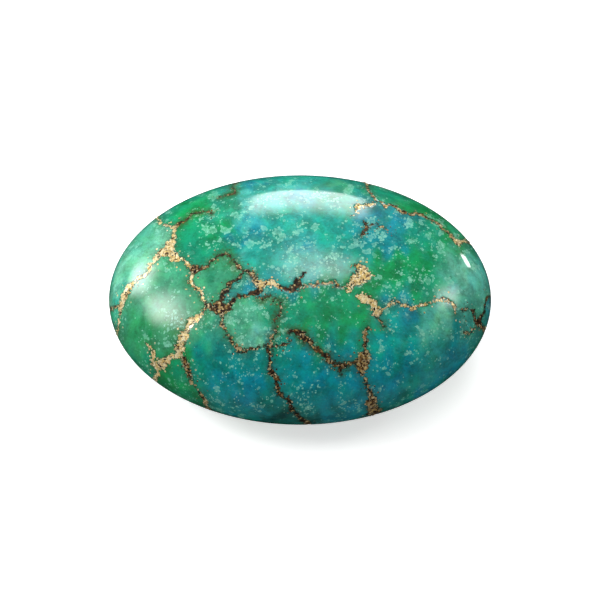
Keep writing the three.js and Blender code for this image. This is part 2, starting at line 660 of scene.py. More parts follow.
    def cells(self, web: Values) -> Values:
        """Numbers the cells of turquoise that the web closes off from each other.

        Args:
            web: Each point's distance outside the nearest vein.

        Returns:
            Each point's cell. Points deep in a vein each have a number of their own.
        """
        first, second = self.edges[:, 0], self.edges[:, 1]
        cell = np.arange(len(web))
        clear = web > self.CELL_GAP
        joined = clear[first] & clear[second]
        one, other = first[joined], second[joined]
        settled = False
        while not settled:
            before = cell.copy()
            lower = np.minimum(cell[one], cell[other])
            np.minimum.at(cell, one, lower)
            np.minimum.at(cell, other, lower)
            cell = cell[cell]
            settled = bool((cell == before).all())
        for _ in range(self.CELL_GROWTH):
            for near, far in ((first, second), (second, first)):
                grows = clear[near] & ~clear[far] & (web[far] > self.CELL_EDGE)
                cell[far[grows]] = cell[near[grows]]
                clear[far[grows]] = True
        return cell

    def tint(self, web: Values) -> Values:
        """Blends the pools of colour over the skin. A pool mostly keeps to its own cell.

        Args:
            web: Each point's distance outside the nearest vein.

        Returns:
            Each point's colour in linear light.
        """
        cell = self.cells(web)
        in_vein = np.where(web > self.CELL_GAP, 0.0, self.OUT_OF_VEINS)
        places, reaches, tints = self.pools()
        points = self.points + Wander(3, 2.4, 0.60).at(self.points)
        total = np.full(len(points), 1e-9)
        light = np.zeros((len(points), 3))
        for place, reach, tint in zip(places, reaches, tints):
            home = (((self.points - place) ** 2).sum(axis=1) + in_vein).argmin()
            far = ((points - place) ** 2).sum(axis=1) / reach ** 2
            share = np.where(cell == cell[home], 1.0, self.CELL_LEAK)
            share /= self.POOL_CORE + far ** self.POOL_FALL
            total += share
            light += share[:, None] * tint
        return light / total[:, None]

    def patches(self, draw: np.random.Generator, count: int) -> Values:
        """Scatters oval patches of bloom.

        Args:
            draw: The source of chance.
            count: How many patches.

        Returns:
            One row each: across, up, half length, half width and turn in degrees.
        """
        across, up = self.scattered(draw, count)
        long = draw.uniform(0.15, 0.6, count)
        short = long * draw.uniform(0.25, 0.8, count)
        turn = draw.uniform(-60.0, 60.0, count)
        return np.stack([across, up, long, short, turn], axis=1)

    def bloom(self) -> Values:
        """Measures every point against the pale patches of bloom.

        Returns:
            How far inside a patch each point is; negative outside them all.
        """
        depth = np.full(len(self.points), -2.0)
        hidden = self.patches(np.random.default_rng(self.BACK_BLOOM_SEED), self.BACK_BLOOMS)
        draw = np.random.default_rng(self.FACE_BLOOM_SEED)
        shown = self.patches(draw, self.FACE_BLOOMS)
        gather = np.max([self.nearness(shown[:, 0], shown[:, 1], d) for d in FACE_DRIFTS], axis=0)
        kept = self.STRAY_BLOOM + self.DRIFT_BLOOM * gather
        shown = shown[draw.uniform(0.0, 1.0, len(shown)) < kept]
        for patches, here in ((shown, self.on_face), (hidden, ~self.on_face)):
            rows = np.flatnonzero(here)
            u, v = self.across[rows], self.up[rows]
            best = depth[rows]
            for across_at, up_at, half_long, half_short, degrees in patches:
                cosine, sine = math.cos(math.radians(degrees)), math.sin(math.radians(degrees))
                along = ((u - across_at) * cosine + (v - up_at) * sine) / half_long
                aside = ((v - up_at) * cosine - (u - across_at) * sine) / half_short
                best = np.maximum(best, (1.0 - np.hypot(along, aside)) * half_short)
            depth[rows] = best
        return depth


Socket = bpy.types.NodeSocket


class Wiring:
    """Adds nodes to one tree and joins them, so that a tree reads as a list of steps."""

    def __init__(self, tree: bpy.types.NodeTree) -> None:
        """Starts on a tree.

        Args:
            tree: The tree to add to.
        """
        self.tree = tree

    def node(self, kind: str, **settings: object) -> bpy.types.Node:
        """Adds a node.

        Args:
            kind: Its type.
            **settings: Its options by name.

        Returns:
            The node.
        """
        made = self.tree.nodes.new(kind)
        for name, value in settings.items():
            setattr(made, name, value)
        return made

    def feed(self, socket: Socket, value: object) -> None:
        """Joins an output to an input, or sets the input to a plain value.

        Args:
            socket: The input.
            value: An output, a number, a colour or a vector.
        """
        if isinstance(value, bpy.types.NodeSocket):
            self.tree.links.new(value, socket)
        else:
            socket.default_value = value

    def math(self, operation: str, *values: object, clamp: bool = False) -> Socket:
        """Works out a number.

        Args:
            operation: The name of the sum.
            *values: What goes in.
            clamp: Whether the result stays between 0 and 1.

        Returns:
            The result.
        """
        made = self.node("ShaderNodeMath", operation=operation, use_clamp=clamp)
        for socket, value in zip(made.inputs, values):
            self.feed(socket, value)
        return made.outputs[0]

    def vector(self, operation: str, first: object, second: object = None) -> Socket:
        """Works out a vector, or a number from vectors.

        Args:
            operation: The name of the sum.
            first: A vector.
            second: A vector, or the number for SCALE.

        Returns:
            The result.
        """
        made = self.node("ShaderNodeVectorMath", operation=operation)
        self.feed(made.inputs[0], first)
        if second is not None:
            self.feed(made.inputs["Scale"] if operation == "SCALE" else made.inputs[1], second)
        return made.outputs["Value"] if operation == "LENGTH" else made.outputs[0]

    def step(self, value: object, start: object, stop: object) -> Socket:
        """Rises smoothly from 0 to 1 as a value goes from one mark to another.

        Args:
            value: The value.
            start: Where the result is 0.
            stop: Where it is 1.

        Returns:
            The result.
        """
        made = self.node("ShaderNodeMapRange", interpolation_type="SMOOTHSTEP", clamp=True)
        for socket, given in zip(made.inputs, (value, start, stop, 0.0, 1.0)):
            self.feed(socket, given)
        return made.outputs[0]

    def blend(self, share: object, first: object, second: object, kind: str = "MIX") -> Socket:
        """Mixes two colours.

        Args:
            share: How much of the second is used.
            first: The colour underneath.
            second: The colour on top.
            kind: How they mix.

        Returns:
            The colour.
        """
        made = self.node("ShaderNodeMix", data_type="RGBA", blend_type=kind)
        for index, value in ((0, share), (6, first), (7, second)):
            self.feed(made.inputs[index], value)
        return made.outputs[2]

    def noise(self, place: object, scale: float, detail: float = 3.0, rough: float = 0.55,
              bend: float = 0.0) -> bpy.types.Node:
        """Adds cloudy noise.

        Args:
            place: Where it is read.
            scale: How many clouds to a millimetre.
            detail: How many finer layers it has.
            rough: How strong they are.
            bend: How far it is twisted.

        Returns:
            The node. Its first output is a number, its second a colour.
        """
        made = self.node("ShaderNodeTexNoise")
        self.feed(made.inputs["Vector"], place)
        made.inputs["Scale"].default_value = scale
        made.inputs["Detail"].default_value = detail
        made.inputs["Roughness"].default_value = rough
        made.inputs["Distortion"].default_value = bend
        return made

    def cells(self, place: object, scale: float) -> bpy.types.Node:
        """Adds a pattern of small cells.

        Args:
            place: Where it is read.
            scale: How many cells to a millimetre.

        Returns:
            The node.
        """
        made = self.node("ShaderNodeTexVoronoi")
        self.feed(made.inputs["Vector"], place)
        made.inputs["Scale"].default_value = scale
        return made

    def mark(self, name: str, kind: str = "Fac") -> Socket:
        """Reads one of the values that the mesh carries.

        Args:
            name: The value's name.
            kind: Which of its readings: a number, a colour or a vector.

        Returns:
            The value.
        """
        return self.node("ShaderNodeAttribute", attribute_name=name).outputs[kind]

    def parts(self, value: object) -> tuple[Socket, Socket, Socket]:
        """Takes a vector apart.

        Args:
            value: The vector.

        Returns:
            Its three numbers.
        """
        made = self.node("ShaderNodeSeparateXYZ")
        self.feed(made.inputs[0], value)
        return made.outputs[0], made.outputs[1], made.outputs[2]

    def whole(self, first: object, second: object, third: object) -> Socket:
        """Puts a vector together from three numbers.

        Args:
            first: Its X.
            second: Its Y.
            third: Its Z.

        Returns:
            The vector.
        """
        made = self.node("ShaderNodeCombineXYZ")
        for socket, value in zip(made.inputs, (first, second, third)):
            self.feed(socket, value)
        return made.outputs[0]


class GrowthTree:
    """A tree of geometry nodes with named inputs, run on an object's mesh."""

    KINDS = {"length": "NodeSocketFloat", "number": "NodeSocketFloat", "count": "NodeSocketInt"}

    def __init__(self, name: str, inputs: dict[str, str]) -> None:
        """Makes an empty tree.

        Args:
            name: The tree's name.
            inputs: The kind of each named input: length, number or count.
        """
        self.tree = bpy.data.node_groups.new(name, "GeometryNodeTree")
        face = self.tree.interface
        face.new_socket("Geometry", in_out="INPUT", socket_type="NodeSocketGeometry")
        for label, kind in inputs.items():
            made = face.new_socket(label, in_out="INPUT", socket_type=self.KINDS[kind])
            if kind == "length":
                made.subtype = "DISTANCE"
        face.new_socket("Geometry", in_out="OUTPUT", socket_type="NodeSocketGeometry")
        self.wiring = Wiring(self.tree)
        self.given = self.wiring.node("NodeGroupInput").outputs
        self.result = self.wiring.node("NodeGroupOutput").inputs[0]

    def stored(self, geometry: Socket, name: str, kind: str, value: object) -> Socket:
        """Keeps a value on the points of the mesh under a name.

        Args:
            geometry: The mesh.
            name: The value's name.
            kind: FLOAT or FLOAT_VECTOR.
            value: The value.

        Returns:
            The mesh with the value.
        """
        node = self.wiring.node("GeometryNodeStoreNamedAttribute", data_type=kind)
        node.inputs["Name"].default_value = name
        self.wiring.feed(node.inputs["Geometry"], geometry)
        self.wiring.feed(node.inputs["Value"], value)
        return node.outputs[0]

    def named(self, name: str, kind: str) -> Socket:
        """Reads a value that the mesh carries.

        Args:
            name: The value's name.
            kind: FLOAT or FLOAT_VECTOR.

        Returns:
            The value.
        """
        node = self.wiring.node("GeometryNodeInputNamedAttribute", data_type=kind)
        node.inputs["Name"].default_value = name
        return node.outputs[0]

    def close(self, geometry: Socket, material: bpy.types.Material, smooth: bool) -> None:
        """Ends the tree: shading, real meshes in place of instances, and the material.

        Args:
            geometry: What the tree has made.
            material: The finish to set.
            smooth: Whether the faces are shaded smooth.
        """
        shade = self.wiring.node("GeometryNodeSetShadeSmooth")
        self.wiring.feed(shade.inputs["Geometry"], geometry)
        shade.inputs["Shade Smooth"].default_value = smooth
        real = self.wiring.node("GeometryNodeRealizeInstances")
        self.wiring.feed(real.inputs[0], shade.outputs[0])
        dress = self.wiring.node("GeometryNodeSetMaterial")
        self.wiring.feed(dress.inputs["Geometry"], real.outputs[0])
        dress.inputs["Material"].default_value = material
        self.wiring.feed(self.result, dress.outputs[0])

    def grow(self, mesh: bpy.types.Mesh, sizes: dict[str, float]) -> bpy.types.Mesh:
        """Runs the tree on a mesh.

        Args:
            mesh: What goes in.
            sizes: The value of each named input.

        Returns:
            The plain mesh that comes out.
        """
        holder = bpy.data.objects.new("holder", mesh)
        bpy.context.scene.collection.objects.link(holder)
        modifier = holder.modifiers.new(self.tree.name, "NODES")
        modifier.node_group = self.tree
        for item in self.tree.interface.items_tree:
            if item.in_out == "INPUT" and item.name in sizes:
                modifier[item.identifier] = sizes[item.name]
        graph = bpy.context.evaluated_depsgraph_get()
        grown = bpy.data.meshes.new_from_object(
            holder.evaluated_get(graph), preserve_all_data_layers=True, depsgraph=graph)
        holder.modifiers.remove(modifier)
        bpy.data.objects.remove(holder)
        return grown


def read_values(mesh: bpy.types.Mesh, name: str, width: int) -> Values:
    """Reads a value of each point of a mesh.

    Args:
        mesh: The mesh.
        name: The value's name.
        width: How many numbers each point has.

    Returns:
        One row for each point.
    """
    layer = mesh.attributes[name]
    flat = np.empty(len(layer.data) * width, np.float32)
    layer.data.foreach_get("value" if width == 1 else "vector", flat)
    return flat.reshape(-1, width).astype(float)


def write_values(mesh: bpy.types.Mesh, name: str, values: Values) -> None:
    """Keeps a number or a vector on each point of a mesh.

    Args:
        mesh: The mesh.
        name: The value's name.
        values: One number or one row for each point.
    """
    single = values.ndim == 1
    layer = mesh.attributes.new(name, "FLOAT" if single else "FLOAT_VECTOR", "POINT")
    layer.data.foreach_set("value" if single else "vector", values.astype(np.float32).ravel())


class MetalTone:
    """The group that colours matrix metal, used in the web and on its grains."""

    NAME = "matrix metal tone"
    PALE_GOLD = linear("FFF4CA")
    RICH_GOLD = linear("E6C474")
    BROWN = linear("6E4618")
    SEAM_SHADE = linear("5A3C16")  # painted shade: darker brown in the crevices between one grain and the next
    SOOT = linear("1C130D")
    UMBER = linear("4E3319")  # the browner grains among the soot

    @classmethod
    def group(cls) -> bpy.types.NodeTree:
        """Finds the group, or makes it the first time.

        Returns:
            The group: Place in millimetres, Metal and Brown go in; Color, Bright and Fleck
            come out.
        """
        if cls.NAME in bpy.data.node_groups:
            return bpy.data.node_groups[cls.NAME]
        tree = bpy.data.node_groups.new(cls.NAME, "ShaderNodeTree")
        for name, kind in (("Place", "Vector"), ("Metal", "Float"), ("Brown", "Float")):
            tree.interface.new_socket(name, in_out="INPUT", socket_type="NodeSocket" + kind)
        for name, kind in (("Color", "Color"), ("Bright", "Float"), ("Fleck", "Float")):
            tree.interface.new_socket(name, in_out="OUTPUT", socket_type="NodeSocket" + kind)
        wiring = Wiring(tree)
        given = wiring.node("NodeGroupInput").outputs
        result = wiring.node("NodeGroupOutput").inputs
        bent = wiring.noise(given["Place"], 2.4, 2.0).outputs[1]
        shaken = wiring.vector("ADD", given["Place"], wiring.vector("SCALE", bent, 0.35))
        grains = wiring.cells(shaken, 4.8)
        chance, tone, fleck = wiring.parts(grains.outputs["Color"])
        drift = wiring.noise(given["Place"], 2.0, 2.0).outputs[0]
        lean = wiring.math("MULTIPLY_ADD", drift, 1.3, -0.80)
        share = wiring.math("ADD", given["Metal"], lean)
        bright = wiring.step(wiring.math("MULTIPLY_ADD", chance, -0.7, share), -0.05, 0.05)
        gold = wiring.blend(tone, cls.PALE_GOLD + (1.0,), cls.RICH_GOLD + (1.0,))
        worn = wiring.math("MULTIPLY", given["Brown"], wiring.math("ADD", fleck, 0.25), clamp=True)
        metal = wiring.blend(worn, gold, cls.BROWN + (1.0,))
        # painted shade: each grain fades to the darker seam colour towards its edge, as if shaded in
        # the crevice
        crown = wiring.step(grains.outputs["Distance"], 0.92, 0.60)
        metal = wiring.blend(crown, cls.SEAM_SHADE + (1.0,), metal)
        dark = wiring.blend(wiring.step(tone, 0.50, 0.80), cls.SOOT + (1.0,), cls.UMBER + (1.0,))
        wiring.feed(result["Color"], wiring.blend(bright, dark, metal))
        wiring.feed(result["Bright"], bright)
        wiring.feed(result["Fleck"], fleck)
        return tree

    @classmethod
    def placed(cls, wiring: Wiring, place: Socket, metal: object, brown: object) -> object:
        """Places the group in a material.

        Args:
            wiring: The material's wiring.
            place: Where it is read, in millimetres.
            metal: The share of bright metal.
            brown: How brown the metal is.

        Returns:
            The group's outputs.
        """
        node = wiring.node("ShaderNodeGroup", node_tree=cls.group())
        for name, value in (("Place", place), ("Metal", metal), ("Brown", brown)):
            wiring.feed(node.inputs[name], value)
        return node.outputs


def new_material(name: str) -> tuple[bpy.types.Material, Wiring, bpy.types.Node]:
    """Makes a material that holds one bare surface shader.

    Args:
        name: Its name.

    Returns:
        The material, its wiring and its shader.
    """
    material = bpy.data.materials.new(name)
    material.use_nodes = True
    material.node_tree.nodes.clear()
    wiring = Wiring(material.node_tree)
    shader = wiring.node("ShaderNodeBsdfPrincipled")
    wiring.feed(wiring.node("ShaderNodeOutputMaterial").inputs["Surface"], shader.outputs[0])
    return material, wiring, shader


def object_place(wiring: Wiring) -> Socket:
    """Reads where a point is on its object, in millimetres.

    Args:
        wiring: The material's wiring.

    Returns:
        The place.
    """
    metres = wiring.node("ShaderNodeTexCoord").outputs["Object"]
    return wiring.vector("SCALE", metres, 1.0 / METRES)


@dataclass(frozen=True)
class PolishedTurquoise:
    """The finish of the stone: tinted body, bloom, matrix and polish.

    Attributes:
        polish: The roughness of the top gloss.
        body_roughness: The roughness of the stone under the gloss.
        lapped_roughness: The roughness of the flat base.
    """

    polish: float = 0.06
    body_roughness: float = 0.40
    lapped_roughness: float = 0.55

    PALE = linear("8CD6BC") + (1.0,)
    GREENER = (0.85, 1.06, 0.74, 1.0)  # multiplies the body where it drifts towards green
    PITTED = (0.30, 0.50, 0.42, 1.0)  # multiplies it in the small dark pits
    OLIVE = (0.80, 0.42, 0.16, 1.0)  # multiplies it in the rusty halo of a vein
    RUSTY = (0.09, 0.085, 0.02, 1.0)  # is mixed into the halo
    VEIN_RIM = (0.010, 0.035, 0.018, 1.0)  # the thin dark line along a vein
    # Each layer of froth: flecks to a millimetre, the share of them that show, and their strength.
    FROTH = ((1.7, 0.22, 0.50), (3.0, 0.27, 0.66), (5.4, 0.24, 0.88))

    def material(self) -> bpy.types.Material:
        """Builds the material.

        Returns:
            The material.
        """
        material, wiring, shader = new_material("webbed turquoise")
        place = object_place(wiring)
        body = self.body_colour(wiring, place)
        inside, stained = self.web_masks(wiring, place, body)
        metal, brown, _ = wiring.parts(wiring.mark("look", "Vector"))
        tone = MetalTone.placed(wiring, place, metal, brown)
        wiring.feed(shader.inputs["Base Color"], wiring.blend(inside, stained, tone["Color"]))
        shine = wiring.math("MULTIPLY", inside, tone["Bright"])
        wiring.feed(shader.inputs["Metallic"], wiring.math("MULTIPLY", shine, 0.35))
        lapped = wiring.step(wiring.parts(place)[2], 0.16, 0.04)
        grit = wiring.math("MULTIPLY_ADD", shine, -0.06, self.body_roughness)
        dull = wiring.node("ShaderNodeMix")
        for socket, value in zip((dull.inputs[0], dull.inputs[2], dull.inputs[3]),
                                 (lapped, grit, self.lapped_roughness)):
            wiring.feed(socket, value)
        wiring.feed(shader.inputs["Roughness"], dull.outputs[0])
        clear = wiring.math("MAXIMUM", lapped, wiring.math("MULTIPLY", inside, 0.8))
        wiring.feed(shader.inputs["Coat Weight"], wiring.math("SUBTRACT", 1.0, clear))
        shader.inputs["Coat Roughness"].default_value = self.polish
        shader.inputs["Specular IOR Level"].default_value = 0.2
        self.bump(wiring, place, inside, tone["Fleck"], shader)
        return material

    def body_colour(self, wiring: Wiring, place: Socket) -> Socket:
        """Colours the turquoise between the veins.

        Args:
            wiring: The material's wiring.
            place: Where it is read, in millimetres.

        Returns:
            The colour.
        """
        tint = wiring.mark("tint", "Color")
        cloud = wiring.noise(place, 0.55, 5.0, 0.6, 0.4).outputs[0]
        grain = wiring.noise(place, 4.2, 4.0, 0.75).outputs[0]
        shade = wiring.math("MULTIPLY_ADD", wiring.step(cloud, 0.32, 0.68), 0.48, 0.55)
        shade = wiring.math("ADD", shade, wiring.math("MULTIPLY_ADD", grain, 1.1, -0.53))
        body = wiring.blend(1.0, tint, wiring.whole(shade, shade, shade), "MULTIPLY")
        drift = wiring.step(wiring.noise(place, 0.8, 3.0, 0.5).outputs[0], 0.42, 0.66)
        greener = wiring.blend(1.0, body, self.GREENER, "MULTIPLY")
        body = wiring.blend(wiring.math("MULTIPLY", drift, 0.55), body, greener)
        zone = wiring.step(wiring.noise(place, 0.42, 3.0).outputs[0], 0.44, 0.60)
        mottle = wiring.noise(place, 1.7, 6.0, 0.68, 0.5).outputs[0]
        haze = wiring.math("MULTIPLY", wiring.step(mottle, 0.54, 0.66), 0.10)
        body = wiring.blend(haze, body, self.PALE)
        for scale, cover, strength in self.FROTH:
            froth = self.froth(wiring, place, scale, wiring.math("MULTIPLY", zone, cover))
            body = wiring.blend(wiring.math("MULTIPLY", froth, strength), body, self.PALE)
        body = wiring.blend(self.bloom(wiring, place), body, self.PALE)
        pit = wiring.step(wiring.noise(place, 4.2, 3.0, 0.6).outputs[0], 0.66, 0.76)
        dark = wiring.blend(1.0, body, self.PITTED, "MULTIPLY")
        return wiring.blend(wiring.math("MULTIPLY", pit, 0.6), body, dark)

    @staticmethod
    def bloom(wiring: Wiring, place: Socket) -> Socket:
        """Finds the scalloped patches of bloom, creased inside and paler at their rims.

        Args:
            wiring: The material's wiring.
            place: Where it is read, in millimetres.

        Returns:
            How strongly the bloom covers a place, from 0 to 1.
        """
        bent = wiring.noise(place, 3.0, 2.0).outputs[1]
        shaken = wiring.vector("ADD", place, wiring.vector("SCALE", bent, 0.20))
        lobe = wiring.cells(shaken, 2.9).outputs["Distance"]
        fray = wiring.noise(place, 5.0, 3.0, 0.6).outputs[0]
        rough = wiring.math("MULTIPLY_ADD", fray, 0.30, wiring.mark("bloom"))
        depth = wiring.math("MULTIPLY_ADD", lobe, -0.36, rough)
        inside = wiring.step(depth, -0.06, 0.00)
        rim = wiring.step(depth, 0.12, 0.02)
        crease = wiring.step(lobe, 0.62, 0.25)
        flake = wiring.step(wiring.noise(place, 7.5, 2.0).outputs[0], 0.40, 0.60)
        lobes = wiring.math("MULTIPLY", crease, wiring.math("MULTIPLY_ADD", flake, 0.28, 0.10))
        cover = wiring.math("ADD", wiring.math("MULTIPLY_ADD", rim, 0.24, 0.16), lobes)
        return wiring.math("MULTIPLY", inside, cover)

    @staticmethod
    def froth(wiring: Wiring, place: Socket, scale: float, cover: Socket) -> Socket:
        """Finds small round flecks that run together into scalloped patches.

        Args:
            wiring: The material's wiring.
            place: Where it is read, in millimetres.
            scale: How many flecks would fit in a millimetre.
            cover: The share of the flecks that show.

        Returns:
            How strongly a fleck covers a place, from 0 to 1, with a paler rim.
        """
        bent = wiring.noise(place, scale * 1.4, 2.0).outputs[1]
        shaken = wiring.vector("ADD", place, wiring.vector("SCALE", bent, 1.1 / scale))
        cells = wiring.cells(shaken, scale)
        chance, size, weight = wiring.parts(cells.outputs["Color"])
        shown = wiring.step(wiring.math("ADD", chance, cover), 0.96, 1.04)
        radius = wiring.math("MULTIPLY", wiring.math("MULTIPLY_ADD", size, 0.32, 0.26), shown)
        depth = wiring.math("SUBTRACT", radius, cells.outputs["Distance"])
        disc = wiring.step(depth, -0.01, 0.05)
        rim = wiring.math("MULTIPLY", disc, wiring.step(depth, 0.20, 0.06))
        body = wiring.math("MULTIPLY", disc, wiring.math("MULTIPLY_ADD", weight, 0.4, 0.35))
        return wiring.math("MULTIPLY_ADD", rim, 0.3, body, clamp=True)

    @classmethod
    def web_masks(cls, wiring: Wiring, place: Socket, body: Socket) -> tuple[Socket, Socket]:
        """Finds the inside of the veins and their crumbs, and stains the stone beside them.

        Args:
            wiring: The material's wiring.
            place: Where it is read, in millimetres.
            body: The colour of the stone.

        Returns:
            How far a place is inside a vein, from 0 to 1, and the stained colour.
        """
        coarse = wiring.noise(place, 3.2, 3.0, 0.6).outputs[0]
        fine = wiring.noise(place, 8.5, 2.0, 0.5).outputs[0]
        fray = wiring.math("ADD", wiring.math("MULTIPLY_ADD", coarse, 0.50, -0.25),
                           wiring.math("MULTIPLY_ADD", fine, 0.24, -0.12))
        chance = wiring.parts(wiring.cells(place, 5.5).outputs["Color"])[0]
        fray = wiring.math("ADD", fray, wiring.math("MULTIPLY_ADD", chance, 0.24, -0.12))
        middle = wiring.vector("LENGTH", wiring.mark("to_vein", "Vector"))
        sharp = wiring.math("SUBTRACT", middle, wiring.mark("vein_width"))
        web = wiring.mark("web")
        gap = wiring.math("MAXIMUM", sharp, wiring.math("SUBTRACT", web, 0.12))
        frayed = wiring.math("ADD", gap, fray)
        inside = wiring.step(frayed, 0.035, -0.035)
        crumbs = wiring.cells(place, 2.7)
        kept = wiring.step(wiring.parts(crumbs.outputs["Color"])[1], 0.76, 0.80)
        beside = wiring.step(wiring.math("MULTIPLY_ADD", fray, 1.4, web), 0.95, 0.55)
        crumb = wiring.math("MULTIPLY", wiring.step(crumbs.outputs["Distance"], 0.34, 0.24),
                            wiring.math("MULTIPLY", kept, beside))
        inside = wiring.math("MAXIMUM", inside, crumb)
        rust = wiring.parts(wiring.mark("look", "Vector"))[2]
        near = wiring.step(wiring.math("MULTIPLY_ADD", fray, 1.6, web), 0.85, 0.0)
        halo = wiring.math("MULTIPLY", wiring.math("MULTIPLY", near, rust), 0.75)
        olive = wiring.blend(1.0, body, cls.OLIVE, "MULTIPLY")
        stained = wiring.blend(halo, body, wiring.blend(0.35, olive, cls.RUSTY))
        rim = wiring.math("MULTIPLY", wiring.step(frayed, 0.17, 0.0), 0.88)
        return inside, wiring.blend(rim, stained, cls.VEIN_RIM)

    @staticmethod
    def bump(wiring: Wiring, place: Socket, inside: Socket, fleck: Socket,
             shader: bpy.types.Node) -> None:
        """Raises the metal in the veins, and leaves a slight waviness in the polish.

        Args:
            wiring: The material's wiring.
            place: Where it is read, in millimetres.
            inside: How far a place is inside a vein.
            fleck: The chance height of each grain.
            shader: The shader that takes the normal.
        """
        ripple = wiring.math("MULTIPLY", wiring.noise(place, 0.6, 2.0).outputs[0], 0.03)
        grains = wiring.math("MULTIPLY", wiring.math("MULTIPLY", fleck, inside), 0.10)
        bump = wiring.node("ShaderNodeBump")
        bump.inputs["Strength"].default_value = 0.6
        bump.inputs["Distance"].default_value = METRES
        wiring.feed(bump.inputs["Height"], wiring.math("ADD", ripple, grains))
        wiring.feed(shader.inputs["Normal"], bump.outputs[0])


@dataclass(frozen=True)
class GrainMetal:
    """The finish of the small grains of metal.

    Attributes:
        roughness: The roughness of a grain's facets.
    """

    roughness: float = 0.30

    ALL_METAL = 1.6  # a share of metal high enough that no grain turns dark
    METALLIC = 0.55

    def material(self) -> bpy.types.Material:
        """Builds the material.

        Returns:
            The material.
        """
        material, wiring, shader = new_material("matrix grain metal")
        place = object_place(wiring)
        tone = MetalTone.placed(wiring, place, self.ALL_METAL, wiring.mark("grain_brown"))
        wiring.feed(shader.inputs["Base Color"], tone["Color"])
        smear = wiring.math("MULTIPLY_ADD", tone["Fleck"], 0.15, self.roughness)
        wiring.feed(shader.inputs["Roughness"], smear)
        shader.inputs["Metallic"].default_value = self.METALLIC
        return material


def as_piece(name: str, mesh: bpy.types.Mesh) -> bpy.types.Object:
    """Shows a mesh as a named piece of the stone that moves with its body.

    Args:
        name: The piece's name.
        mesh: Its mesh, in metres, in place.

    Returns:
        The piece.
    """
    mesh.name = name
    piece = bpy.data.objects.new(name, mesh)
    bpy.context.scene.collection.objects.link(piece)
    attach(piece, BODY)
    LOG.info("%s: %d faces", name, len(mesh.polygons))
    return piece


